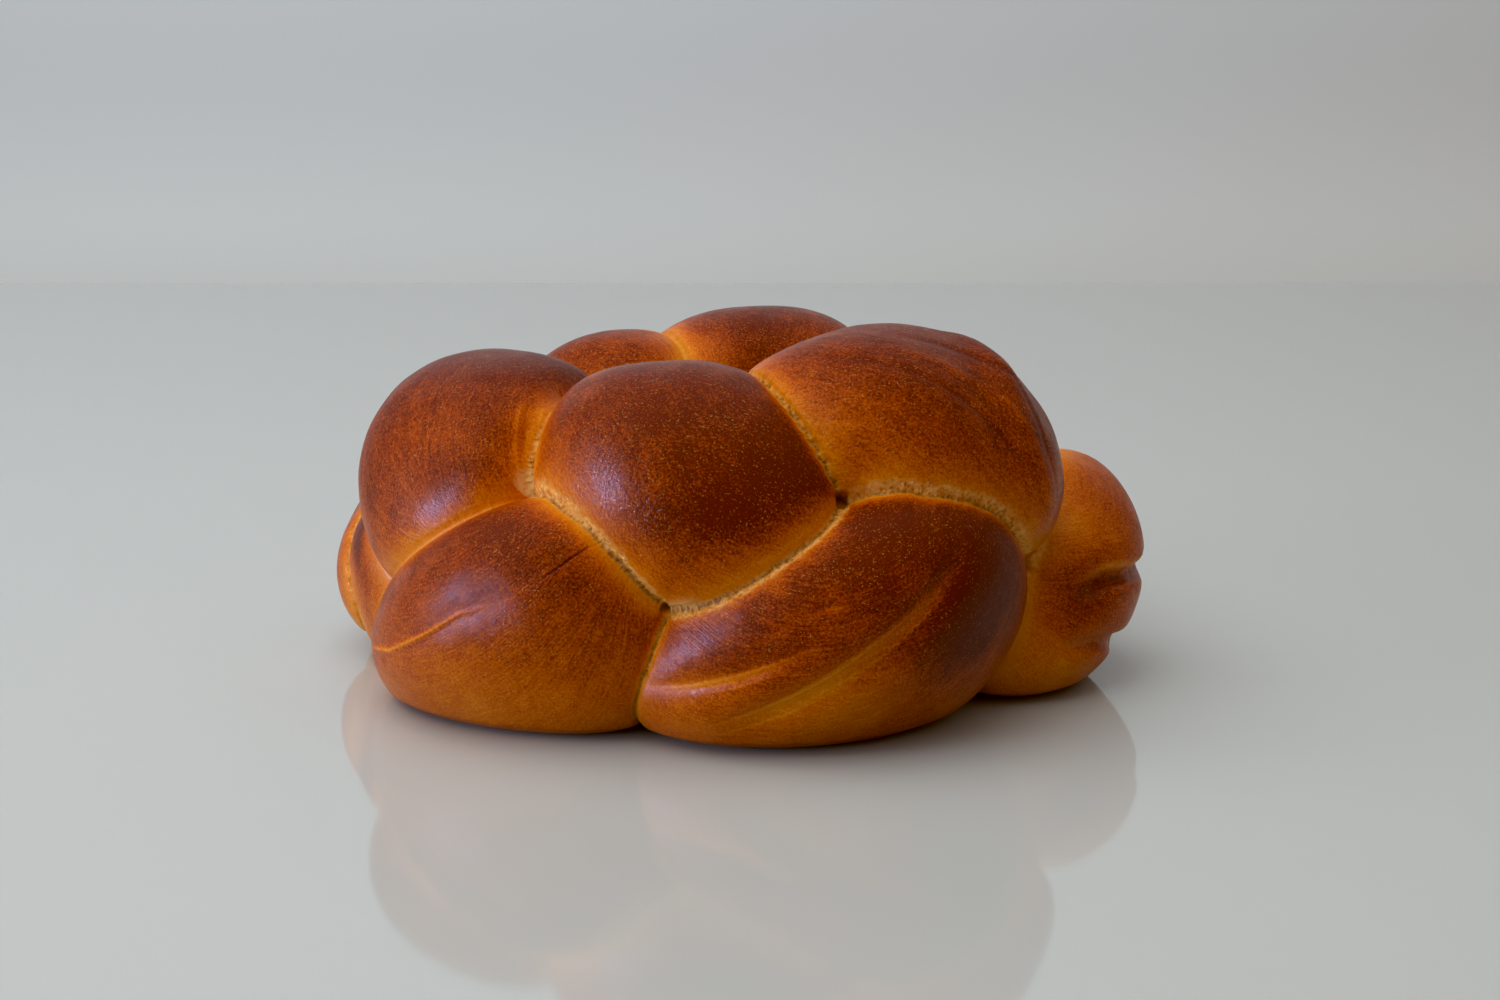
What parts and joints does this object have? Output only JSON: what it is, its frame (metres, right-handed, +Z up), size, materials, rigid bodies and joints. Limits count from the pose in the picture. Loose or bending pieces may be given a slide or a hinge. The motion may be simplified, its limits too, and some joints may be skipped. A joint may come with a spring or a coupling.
{
  "type": "challah",
  "caption": "Round plaited challah: ropes of dough braided into a ring of swollen lumps with a small hole in the middle, baked to a glossy brown crust.",
  "frame": {"origin": "on the surface the loaf stands on, under the middle of its bounding box", "axes": "+Z up, +Y away from the side that the picture shows, +X to the right as the picture shows it"},
  "size_m": [0.2383, 0.2354, 0.1062],
  "materials": {
    "crust": "egg-washed crust, mahogany brown on the tops and amber by the creases"
  },
  "bodies": {
    "root": {"challah": "crust"}
  },
  "joints": []
}
